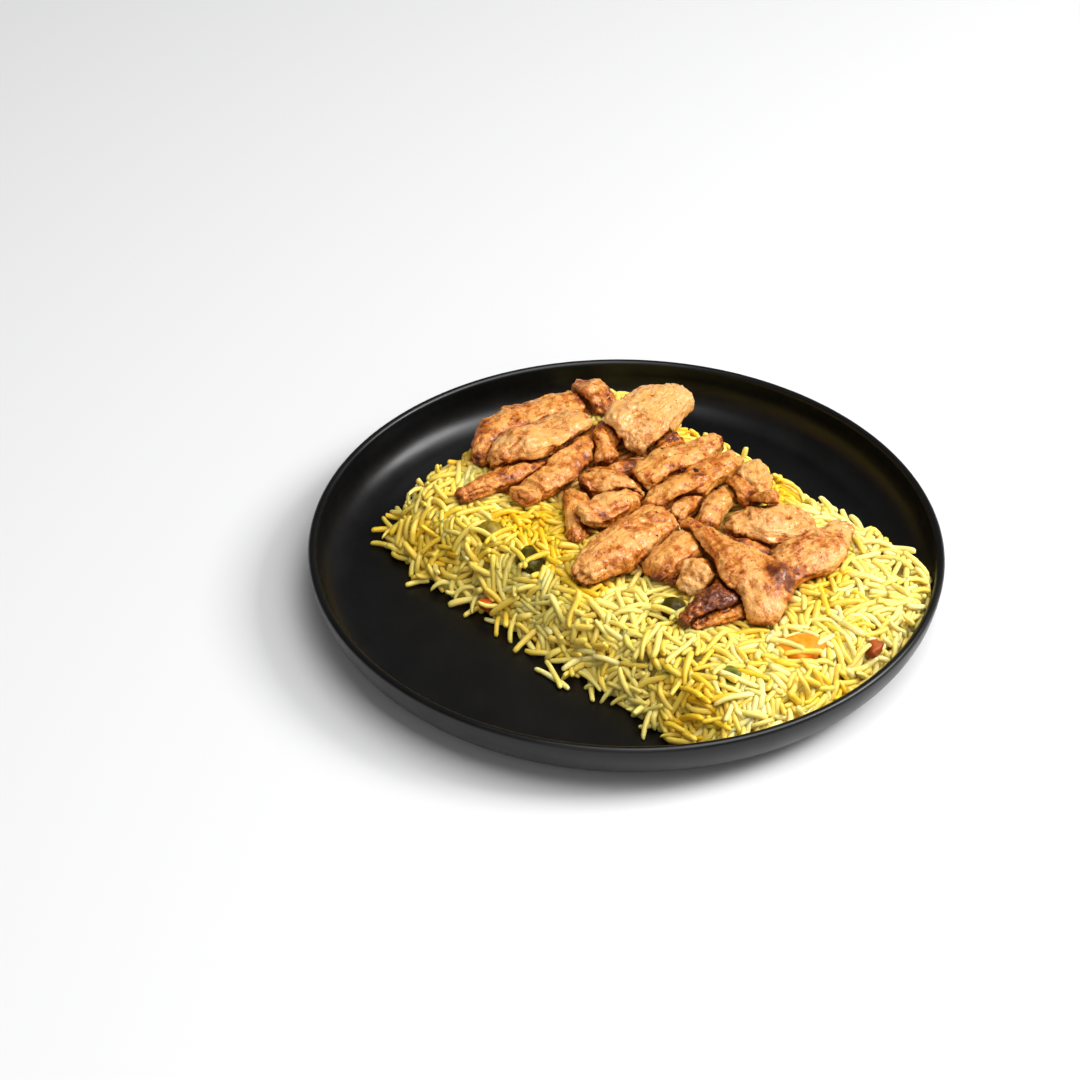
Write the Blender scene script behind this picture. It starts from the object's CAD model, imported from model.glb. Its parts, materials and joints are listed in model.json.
"""Looks for a plate of peri peri chicken on yellow rice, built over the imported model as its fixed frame.

Lengths are in metres, most of them written in millimetres times MM. The plate is turned again with a fine
outline. Each chicken strip is a finely remeshed copy of its solid, with fibres, furrows and frayed ends. The
rice is a core of its own under thousands of bent grains, which are pushed apart until they lie on each other.
"""

import json
import logging
import math
from dataclasses import dataclass
from enum import Enum, IntEnum

import bpy
import numpy as np
from mathutils import Euler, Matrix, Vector
from mathutils.bvhtree import BVHTree


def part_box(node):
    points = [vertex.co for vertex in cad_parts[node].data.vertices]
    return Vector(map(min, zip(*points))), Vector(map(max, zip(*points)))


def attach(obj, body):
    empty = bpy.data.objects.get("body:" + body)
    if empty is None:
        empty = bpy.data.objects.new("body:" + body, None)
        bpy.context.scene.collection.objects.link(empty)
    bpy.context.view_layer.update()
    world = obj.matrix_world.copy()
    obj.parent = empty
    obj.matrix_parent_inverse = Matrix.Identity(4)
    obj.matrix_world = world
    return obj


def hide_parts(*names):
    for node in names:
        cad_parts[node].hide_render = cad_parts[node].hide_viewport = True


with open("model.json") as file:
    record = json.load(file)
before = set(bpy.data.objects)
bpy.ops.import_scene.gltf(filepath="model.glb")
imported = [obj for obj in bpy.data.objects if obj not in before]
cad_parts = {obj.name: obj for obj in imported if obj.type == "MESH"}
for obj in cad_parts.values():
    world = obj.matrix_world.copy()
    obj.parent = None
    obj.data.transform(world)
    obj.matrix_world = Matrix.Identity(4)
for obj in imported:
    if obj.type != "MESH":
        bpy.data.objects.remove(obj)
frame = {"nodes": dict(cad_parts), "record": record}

MM = 0.001
BODY = "root"
Colour = tuple[float, float, float]
Place = tuple[float, float, float]
Angles = tuple[float, float, float]

log = logging.getLogger("plate")


class GrainKind(Enum):
    """The four tones that the grains fall into."""

    PALE = "rice_grains_pale"
    LEMON = "rice_grains_lemon"
    GOLDEN = "rice_grains_golden"
    CREAM = "rice_grains_cream"


class Seed(IntEnum):
    """The seeds of the draws and of the noises."""

    GRAINS = 17
    HEAP = 61
    CORE = 71
    GOLD = 81
    KINDS = 83
    TINT = 84
    GIRTH = 86
    SWAY = 87
    LIFT = 88
    STAIN = 91
    DUST = 97
    STRIPS = 100
    VEGETABLES = 300


class LatticeNoise:
    """Smooth noise between -1 and 1, read between seeded values on a lattice."""

    CELLS = 48
    # Each layer's fineness and strength against the last, and how far apart the layers are read.
    FINER = 2.03
    WEAKER = 0.5
    SHIFT = 7.1

    def __init__(self, seed: int) -> None:
        """Draws the lattice.

        Args:
            seed: the seed of its values.
        """
        self.values = np.random.default_rng(seed).uniform(-1.0, 1.0, (self.CELLS,) * 3)

    def at(self, places: np.ndarray) -> np.ndarray:
        """Reads the noise.

        Args:
            places: points in lattice steps, as rows of three.

        Returns:
            One value for each point.
        """
        base = np.floor(places).astype(np.int64)
        part = places - base
        part = part * part * (3.0 - 2.0 * part)
        low = base % self.CELLS
        high = (base + 1) % self.CELLS
        total = np.zeros(len(places))
        for corner in range(8):
            pick = [(corner >> axis) & 1 for axis in range(3)]
            index = tuple(np.where(pick[axis], high[:, axis], low[:, axis]) for axis in range(3))
            share = np.ones(len(places))
            for axis in range(3):
                share *= part[:, axis] if pick[axis] else 1.0 - part[:, axis]
            total += self.values[index] * share
        return total

    def layered(self, places: np.ndarray, layers: int = 3) -> np.ndarray:
        """Reads several finer and weaker layers of the noise at once.

        Args:
            places: points in lattice steps of the coarsest layer.
            layers: how many layers to add up.

        Returns:
            One value for each point, still about between -1 and 1.
        """
        total = np.zeros(len(places))
        reach = 0.0
        for layer in range(layers):
            share = self.WEAKER**layer
            total += share * self.at(places * self.FINER**layer + self.SHIFT * layer)
            reach += share
        return total / reach


def smooth_step(values: np.ndarray, low: float, high: float) -> np.ndarray:
    """Eases values from 0 at low to 1 at high.

    Args:
        values: any array.
        low: where the result starts to leave 0.
        high: where the result reaches 1.

    Returns:
        An array of the same shape.
    """
    share = np.clip((values - low) / (high - low), 0.0, 1.0)
    return share * share * (3.0 - 2.0 * share)


def unit(rows: np.ndarray) -> np.ndarray:
    """Gives every row a length of one."""
    return rows / np.linalg.norm(rows, axis=1)[:, None]


def patch(far: np.ndarray, size: float) -> np.ndarray:
    """Works out a soft round patch, 1 in its middle, from distances in metres and its size in millimetres."""
    return np.exp(-((far / (size * MM)) ** 2))


def deselect() -> None:
    """Leaves nothing selected."""
    for other in list(bpy.context.selected_objects):
        other.select_set(False)


def activate(item: bpy.types.Object) -> None:
    """Makes an object the only one selected, and the active one.

    Args:
        item: the object.
    """
    deselect()
    item.select_set(True)
    bpy.context.view_layer.objects.active = item


def apply_modifier(item: bpy.types.Object, kind: str, **settings: object) -> None:
    """Adds a modifier to an object and applies it.

    Args:
        item: the object.
        kind: the modifier's type.
        settings: the modifier's properties.
    """
    modifier = item.modifiers.new(kind.lower(), kind)
    for name, value in settings.items():
        setattr(modifier, name, value)
    activate(item)
    bpy.ops.object.modifier_apply(modifier=modifier.name)


def merged_copy(node: str, name: str) -> bpy.types.Object:
    """Copies a solid of the frame and merges its loose triangles.

    Args:
        node: the solid's name.
        name: the copy's name.

    Returns:
        The copy, linked to the scene, with no material.
    """
    copy = bpy.data.objects.new(name, frame["nodes"][node].data.copy())
    bpy.context.scene.collection.objects.link(copy)
    copy.data.materials.clear()
    activate(copy)
    bpy.ops.object.mode_set(mode="EDIT")
    bpy.ops.mesh.select_all(action="SELECT")
    bpy.ops.mesh.remove_doubles(threshold=1e-6)
    bpy.ops.object.mode_set(mode="OBJECT")
    return copy


def points_of(item: bpy.types.Object) -> np.ndarray:
    """Reads a mesh object's points as rows of three."""
    flat = np.empty(len(item.data.vertices) * 3, np.float32)
    item.data.vertices.foreach_get("co", flat)
    return flat.reshape(-1, 3).astype(float)


def search_tree(meshes: list[bpy.types.Mesh]) -> BVHTree:
    """Builds one search tree over several meshes.

    Args:
        meshes: the meshes.

    Returns:
        The tree.
    """
    points = []
    faces = []
    for mesh in meshes:
        base = len(points)
        points += [vertex.co.copy() for vertex in mesh.vertices]
        faces += [[base + index for index in face.vertices] for face in mesh.polygons]
    return BVHTree.FromPolygons(points, faces)


def normals_of(item: bpy.types.Object) -> np.ndarray:
    """Reads a mesh object's point normals as rows of three."""
    flat = np.empty(len(item.data.vertices) * 3, np.float32)
    item.data.vertices.foreach_get("normal", flat)
    return flat.reshape(-1, 3).astype(float)


def set_points(item: bpy.types.Object, points: np.ndarray) -> None:
    """Writes a mesh object's points.

    Args:
        item: the object.
        points: its new points, as rows of three.
    """
    item.data.vertices.foreach_set("co", points.astype(np.float32).ravel())
    item.data.update()


def set_values(item: bpy.types.Object, name: str, values: np.ndarray) -> None:
    """Stores one number for each point of a mesh, for its material to read.

    Args:
        item: the object.
        name: the attribute's name.
        values: the numbers.
    """
    attribute = item.data.attributes.new(name, "FLOAT", "POINT")
    attribute.data.foreach_set("value", values.astype(np.float32))


def set_vectors(item: bpy.types.Object, name: str, vectors: np.ndarray) -> None:
    """Stores one vector for each point of a mesh, for its material to read.

    Args:
        item: the object.
        name: the attribute's name.
        vectors: the vectors, as rows of three.
    """
    attribute = item.data.attributes.new(name, "FLOAT_VECTOR", "POINT")
    attribute.data.foreach_set("vector", vectors.astype(np.float32).ravel())


def finish_piece(item: bpy.types.Object, material: bpy.types.Material, slot: str, *nodes: str) -> None:
    """Gives a piece its material, its slot and its body, and hides the solids that it stands for.

    Args:
        item: the piece.
        material: what it is made of.
        slot: the record's material slot.
        nodes: the solids that it replaces.
    """
    item.data.materials.clear()
    item.data.materials.append(material)
    item.data.shade_smooth()
    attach(item, BODY)
    if nodes:
        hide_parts(*nodes)
    log.info("%s: %d faces", item.name, len(item.data.polygons))


def slot_of(node: str) -> str:
    """Finds the record's material slot of a solid."""
    return next(part["material_slot"] for part in frame["record"]["subparts"] if part["node"] == node)


class Recipe:
    """A material's node tree, with short calls that add nodes and join them."""

    def __init__(self, name: str) -> None:
        """Starts a material with its Principled shader.

        Args:
            name: the material's name.
        """
        self.material = bpy.data.materials.new(name)
        self.material.use_nodes = True
        self.tree = self.material.node_tree
        self.shader = self.tree.nodes["Principled BSDF"]

    def add(self, kind: str, inputs: dict | None = None, **settings: object) -> bpy.types.Node:
        """Adds a node.

        Args:
            kind: the node's type, without its ShaderNode prefix.
            inputs: values, or sockets to join, for its input sockets by name or number.
            settings: the node's own properties.

        Returns:
            The node.
        """
        node = self.tree.nodes.new("ShaderNode" + kind)
        for name, value in settings.items():
            setattr(node, name, value)
        for name, value in (inputs or {}).items():
            self.put(node.inputs[name], value)
        return node

    def fix(self, values: dict[str, object]) -> None:
        """Sets numbers of the shader that are the same all over the surface."""
        for name, value in values.items():
            self.shader.inputs[name].default_value = value

    def vary(self, name: str, value: bpy.types.NodeSocket) -> None:
        """Joins what varies over the surface to one of the shader's inputs."""
        self.put(self.shader.inputs[name], value)

    def put(self, socket: bpy.types.NodeSocket, value: object) -> None:
        """Sets a socket's value, or joins another socket to it.

        Args:
            socket: the input socket.
            value: a number, a tuple or an output socket.
        """
        if isinstance(value, bpy.types.NodeSocket):
            self.tree.links.new(value, socket)
        else:
            socket.default_value = value

    def attribute(self, name: str, output: str = "Fac") -> bpy.types.NodeSocket:
        """Reads an attribute of the mesh."""
        return self.add("Attribute", attribute_name=name).outputs[output]

    def noise(self, vector: bpy.types.NodeSocket, scale: float, detail: float = 3.0) -> bpy.types.NodeSocket:
        """Adds a noise texture.

        Args:
            vector: where it is read.
            scale: its scale.
            detail: how many finer layers it has.

        Returns:
            Its value, from 0 to 1.
        """
        texture = self.add("TexNoise", {"Vector": vector, "Scale": scale, "Detail": detail})
        return texture.outputs["Fac"]

    def ease(self, value: bpy.types.NodeSocket, low: float, high: float,
             start: float = 0.0, end: float = 1.0) -> bpy.types.NodeSocket:
        """Maps a value smoothly from one range to another.

        Args:
            value: the value.
            low: where the first range starts.
            high: where the first range ends.
            start: the result at low.
            end: the result at high.

        Returns:
            The mapped value.
        """
        inputs = {"Value": value, "From Min": low, "From Max": high, "To Min": start, "To Max": end}
        return self.add("MapRange", inputs, interpolation_type="SMOOTHSTEP").outputs["Result"]

    def blend(self, share: bpy.types.NodeSocket, first: object, second: Colour) -> bpy.types.NodeSocket:
        """Mixes two colours.

        Args:
            share: how much of the second there is.
            first: a colour, or a socket.
            second: a colour.

        Returns:
            The mixed colour.
        """
        node = self.add("Mix", data_type="RGBA", blend_type="MIX")
        self.put(node.inputs[0], share)
        self.put(node.inputs[6], first if isinstance(first, bpy.types.NodeSocket) else solid_colour(first))
        self.put(node.inputs[7], solid_colour(second))
        return node.outputs[2]

    def combine(self, first: object, second: object, kind: str = "MULTIPLY") -> bpy.types.NodeSocket:
        """Joins two numbers by one step of arithmetic, a product unless another is asked for."""
        return self.add("Math", {0: first, 1: second}, operation=kind).outputs[0]

    def bump(self, height: bpy.types.NodeSocket, depth: float, strength: float = 1.0) -> None:
        """Adds a bump in front of the shader's normal.

        Args:
            height: the relief, from 0 to 1.
            depth: its full depth in metres.
            strength: how much of it shows.
        """
        inputs = {"Height": height, "Distance": depth, "Strength": strength}
        node = self.add("Bump", inputs)
        before = self.shader.inputs["Normal"]
        if before.links:
            self.put(node.inputs["Normal"], before.links[0].from_socket)
        self.put(before, node.outputs["Normal"])

    def places(self) -> bpy.types.NodeSocket:
        """Gives the Object coordinates."""
        return self.add("TexCoord").outputs["Object"]


def solid_colour(colour: Colour) -> tuple[float, float, float, float]:
    """Adds a full alpha to a colour."""
    return (*colour, 1.0)


@dataclass(frozen=True)
class GlazeFinish:
    """The plate's matt black glaze."""

    colour: Colour = (0.0020, 0.0020, 0.0021)
    roughness: float = 0.33
    shine: float = 0.36

    def material(self) -> bpy.types.Material:
        """Builds the material.

        Returns:
            A near-black satin surface with a faint orange-peel relief.
        """
        recipe = Recipe("matt_black_glaze")
        places = recipe.places()
        mottle = recipe.noise(places, 420.0, 4.0)
        tone = recipe.ease(mottle, 0.35, 0.7)
        lighter = tuple(1.5 * part for part in self.colour)
        recipe.vary("Base Color", recipe.blend(tone, self.colour, lighter))
        cloud = recipe.noise(places, 60.0, 2.0)
        recipe.vary("Roughness", recipe.ease(cloud, 0.3, 0.7, self.roughness - 0.03, self.roughness + 0.04))
        recipe.fix({"Specular IOR Level": self.shine})
        recipe.bump(recipe.noise(places, 900.0, 2.0), 0.03 * MM, 0.35)
        return recipe.material


@dataclass(frozen=True)
class GrainFinish:
    """Boiled rice of one kind: its two extreme tones, and its tone where sauce has stained it."""

    kind: GrainKind
    light: Colour
    deep: Colour
    stained: Colour = (0.46, 0.17, 0.022)

    def material(self) -> bpy.types.Material:
        """Builds the material.

        Returns:
            A moist, slightly see-into grain whose tone varies from one grain to the next.
        """
        recipe = Recipe(self.kind.value)
        places = recipe.places()
        tint = recipe.attribute("tint")
        cloud = recipe.combine(recipe.combine(recipe.noise(places, 330.0, 2.0), 0.5, "SUBTRACT"), 1.1)
        share = recipe.add("Clamp", {"Value": recipe.combine(tint, cloud, "ADD")}).outputs[0]
        colour = recipe.blend(share, self.light, self.deep)
        stain = recipe.attribute("stain")
        recipe.vary("Base Color", recipe.blend(stain, colour, self.stained))
        recipe.fix({
            "Subsurface Weight": 0.9,
            "Subsurface Radius": (1.0, 0.95, 0.7),
            "Subsurface Scale": 1.7 * MM,
        })
        recipe.vary("Roughness", recipe.ease(recipe.noise(places, 350.0, 2.0), 0.3, 0.7, 0.34, 0.5))
        recipe.bump(recipe.noise(places, 1500.0, 2.0), 0.05 * MM, 0.5)
        return recipe.material


@dataclass(frozen=True)
class CoreFinish:
    """The shaded rice between the grains."""

    shade: Colour = (0.13, 0.085, 0.010)
    lit: Colour = (0.36, 0.26, 0.035)

    def material(self) -> bpy.types.Material:
        """Builds the material of the heap's inside.

        Returns:
            A deep yellow with grain-sized clouds.
        """
        recipe = Recipe("rice_core")
        places = recipe.places()
        clouds = recipe.ease(recipe.noise(places, 240.0, 3.0), 0.35, 0.65)
        recipe.vary("Base Color", recipe.blend(clouds, self.shade, self.lit))
        recipe.fix({"Roughness": 0.6})
        recipe.bump(recipe.noise(places, 420.0, 2.0), 0.6 * MM, 0.8)
        return recipe.material


@dataclass(frozen=True)
class MeatFinish:
    """Grilled chicken: its tones from bare flesh to char, mixed by what each point of the strip stores."""

    name: str = "grilled_chicken"
    flesh: Colour = (0.87, 0.51, 0.215)
    roast: Colour = (0.79, 0.355, 0.070)
    glaze: Colour = (0.50, 0.130, 0.007)
    sear: Colour = (0.13, 0.023, 0.003)
    spice: Colour = (0.30, 0.07, 0.008)

    def material(self) -> bpy.types.Material:
        """Builds the material.

        Returns:
            Mottled fibrous meat, paler on its cut faces and darker in its furrows.
        """
        recipe = Recipe(self.name)
        places = recipe.places()
        flow = recipe.attribute("flow", "Vector")
        browning = recipe.attribute("browning")
        paleness = recipe.attribute("paleness")
        streaks = recipe.noise(flow, 1.0, 4.0)
        threads = recipe.noise(flow, 2.6, 3.0)
        mottle = recipe.noise(places, 300.0, 6.0)
        fine = recipe.noise(places, 1500.0, 3.0)
        pale_share = recipe.combine(paleness, recipe.ease(streaks, 0.3, 0.72))
        colour = recipe.blend(pale_share, self.roast, self.flesh)
        brown = browning
        for grain, share in ((mottle, 1.5), (streaks, 0.55), (threads, 0.2), (fine, 1.0)):
            centred = recipe.combine(grain, 0.5, "SUBTRACT")
            brown = recipe.combine(brown, recipe.combine(centred, share), "ADD")
        colour = recipe.blend(recipe.ease(brown, 0.16, 0.66), colour, self.glaze)
        colour = recipe.blend(recipe.ease(brown, 0.60, 1.0), colour, self.sear)
        specks = recipe.ease(fine, 0.64, 0.74, 0.0, 0.6)
        recipe.vary("Base Color", recipe.blend(specks, colour, self.spice))
        wet = recipe.noise(places, 230.0, 2.0)
        recipe.vary("Roughness", recipe.ease(wet, 0.36, 0.62, 0.2, 0.44))
        recipe.fix({
            "Subsurface Weight": 0.3,
            "Subsurface Radius": (1.0, 0.5, 0.25),
            "Subsurface Scale": 1.3 * MM,
            "Specular IOR Level": 0.35,
            "Coat Weight": 0.36,
            "Coat Roughness": 0.13,
        })
        recipe.bump(streaks, 0.5 * MM, 0.9)
        recipe.bump(threads, 0.25 * MM, 0.9)
        recipe.bump(mottle, 1.1 * MM, 0.75)
        recipe.bump(fine, 0.5 * MM, 0.9)
        return recipe.material


@dataclass(frozen=True)
class VegetableFinish:
    """A boiled vegetable: its tones, gloss and dents, how square it is cut and how bare of grains it lies."""

    name: str
    light: Colour
    dark: Colour
    roughness: float = 0.36
    dents: float = 0.6 * MM
    cut: float = 1.0
    bare: float = 0.45

    def material(self) -> bpy.types.Material:
        """Builds the material.

        Returns:
            A moist skin with soft clouds of the second tone.
        """
        recipe = Recipe(self.name)
        places = recipe.places()
        clouds = recipe.ease(recipe.noise(places, 260.0, 3.0), 0.35, 0.68)
        recipe.vary("Base Color", recipe.blend(clouds, self.light, self.dark))
        recipe.fix({
            "Roughness": self.roughness,
            "Subsurface Weight": 0.35,
            "Specular IOR Level": 0.14,
            "Subsurface Radius": (1.0, 0.8, 0.4),
            "Subsurface Scale": 1.5 * MM,
        })
        recipe.bump(recipe.noise(places, 500.0, 3.0), 0.2 * MM, 0.4)
        return recipe.material


@dataclass(frozen=True)
class SweepFinish:
    """The pale floor of the studio."""

    colour: Colour = (0.69, 0.69, 0.692)

    def material(self) -> bpy.types.Material:
        """Builds the floor's material.

        Returns:
            A plain matt white.
        """
        recipe = Recipe("studio_sweep")
        recipe.fix({"Base Color": solid_colour(self.colour), "Roughness": 0.75, "Specular IOR Level": 0.2})
        return recipe.material


@dataclass
class Plate:
    """The black plate: a flat floor, a cove, an upright wall with a round lip, and a foot ring."""

    rim_radius: float = 130.0 * MM
    height: float = 25.0 * MM
    floor_height: float = 5.0 * MM
    floor_radius: float = 113.0 * MM
    wall_radius: float = 126.5 * MM
    foot_outer: float = 102.0 * MM
    foot_inner: float = 91.0 * MM
    foot_recess: float = 1.5 * MM
    foot_step: float = 1.2 * MM
    around: int = 192

    def outline(self) -> list[tuple[float, float]]:
        """Works out the plate's section.

        Returns:
            Its points as (radius, height), from the middle of the floor over the lip to the underside.
        """
        middle = 3.0 * MM
        points = [(middle, self.floor_height)]
        for share in (0.25, 0.5, 0.75, 0.94, 0.985):
            points.append((self.floor_radius * share, self.floor_height))
        rise = self.wall_radius - self.floor_radius
        for step in range(13):
            turn = math.radians(90 * step / 12)
            points.append((
                self.floor_radius + rise * math.sin(turn),
                self.floor_height + rise * (1 - math.cos(turn)),
            ))
        lip = (self.rim_radius - self.wall_radius) / 2
        lip_middle = (self.rim_radius + self.wall_radius) / 2
        for step in range(13):
            turn = math.radians(180 - 15 * step)
            points.append((lip_middle + lip * math.cos(turn), self.height - lip + lip * math.sin(turn)))
        corners = [
            Vector((self.rim_radius, self.height - lip)),
            Vector((self.rim_radius - 1.0 * MM, 8.0 * MM)),
            Vector((self.rim_radius - 11.0 * MM, 2.2 * MM)),
            Vector((self.foot_outer + 1.0 * MM, self.foot_step)),
        ]
        for step in range(1, 13):
            t = step / 12
            s = 1 - t
            spot = corners[0] * s**3 + corners[1] * 3 * s * s * t
            spot += corners[2] * 3 * s * t * t + corners[3] * t**3
            points.append((spot.x, spot.y))
        points += [
            (self.foot_outer + 0.3 * MM, 0.35 * MM),
            (self.foot_outer - 0.4 * MM, 0.0),
            (self.foot_inner + 0.4 * MM, 0.0),
            (self.foot_inner - 0.3 * MM, 0.4 * MM),
            (self.foot_inner - 1.2 * MM, self.foot_recess),
            (self.foot_inner * 0.5, self.foot_recess),
            (middle, self.foot_recess),
        ]
        return points

    def build(self) -> bpy.types.Object:
        """Turns the plate: a small disc grown outwards ring by ring along its section, then closed below.

        Returns:
            The plate.
        """
        outline = self.outline()
        deselect()
        radius, height = outline[0]
        bpy.ops.mesh.primitive_circle_add(
            vertices=self.around, radius=radius, fill_type="NGON", location=(0.0, 0.0, height)
        )
        plate = bpy.context.active_object
        plate.name = "plate_turned"
        bpy.ops.object.transform_apply(location=True, rotation=True, scale=True)
        bpy.ops.object.mode_set(mode="EDIT")
        bpy.ops.mesh.select_mode(type="EDGE")
        bpy.ops.mesh.select_all(action="SELECT")
        bpy.ops.mesh.region_to_loop()
        for (before, low), (after, high) in zip(outline, outline[1:]):
            bpy.ops.mesh.extrude_edges_indiv()
            scale = after / before
            bpy.ops.transform.resize(value=(scale, scale, 1.0), center_override=(0.0, 0.0, 0.0))
            bpy.ops.transform.translate(value=(0.0, 0.0, high - low))
        bpy.ops.mesh.edge_face_add()
        bpy.ops.mesh.select_all(action="SELECT")
        bpy.ops.mesh.normals_make_consistent(inside=False)
        bpy.ops.object.mode_set(mode="OBJECT")
        finish_piece(plate, GlazeFinish().material(), slot_of("plate"), "plate")
        return plate

    def room(self, heights: np.ndarray) -> np.ndarray:
        """Measures the plate's inside.

        Args:
            heights: heights over the table.

        Returns:
            The inside radius at each height.
        """
        rise = self.wall_radius - self.floor_radius
        drop = np.clip(1.0 - (heights - self.floor_height) / rise, 0.0, 1.0)
        return self.floor_radius + rise * np.sqrt(1.0 - drop * drop)


class Relief(Enum):
    """The layers of a strip's relief: each one's sizes in millimetres, and where its noise is read.

    The first five run along, across and up the fibres, and the others are the same in every direction.
    """

    BUNDLES = (20.0, 4.4, 4.4, 11.0)
    RIDGES = (15.0, 3.0, 3.0, 71.0)
    FIBRES = (8.0, 1.4, 1.4, 23.0)
    FOLDS = (1.5, 9.0, 9.0, 17.0)
    THREADS = (7.0, 1.1, 1.1, 0.0)
    CREASED = (8.0, 8.0, 8.0, 47.0)
    FOLDED = (12.0, 12.0, 12.0, 61.0)
    WARP = (11.0, 11.0, 11.0, 3.0)
    LUMPS = (5.6, 5.6, 5.6, 5.0)
    KNOBS = (3.1, 3.1, 3.1, 83.0)
    PITS = (2.6, 2.6, 2.6, 29.0)
    CRAGS = (1.9, 1.9, 1.9, 41.0)
    GRIT = (1.1, 1.1, 1.1, 53.0)
    BROWN_PATCHES = (9.0, 9.0, 9.0, 31.0)
    PALE_PATCHES = (12.0, 12.0, 12.0, 57.0)

    def places(self, points: np.ndarray) -> np.ndarray:
        """Turns points into lattice steps of this layer."""
        *sizes, shift = self.value
        return points / (np.array(sizes) * MM) + shift

    def read(self, noise: LatticeNoise, points: np.ndarray, layers: int = 1) -> np.ndarray:
        """Reads this layer.

        Args:
            noise: the strip's own noise.
            points: rows of three, or lengths along, across and up the fibres.
            layers: how many finer layers it adds up, itself among them.

        Returns:
            One value for each point, from -1 to 1.
        """
        return noise.layered(self.places(points), layers)


@dataclass(frozen=True)
class StripLook:
    """How one chicken strip is cooked and cut: shares of the most, and of the usual for folds and crust."""

    paleness: float = 0.35
    browning: float = 0.30
    char: float = 0.0
    fraying: float = 0.5
    folds: float = 0.3
    crust: float = 0.6
    corners: float = 0.0


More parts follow.
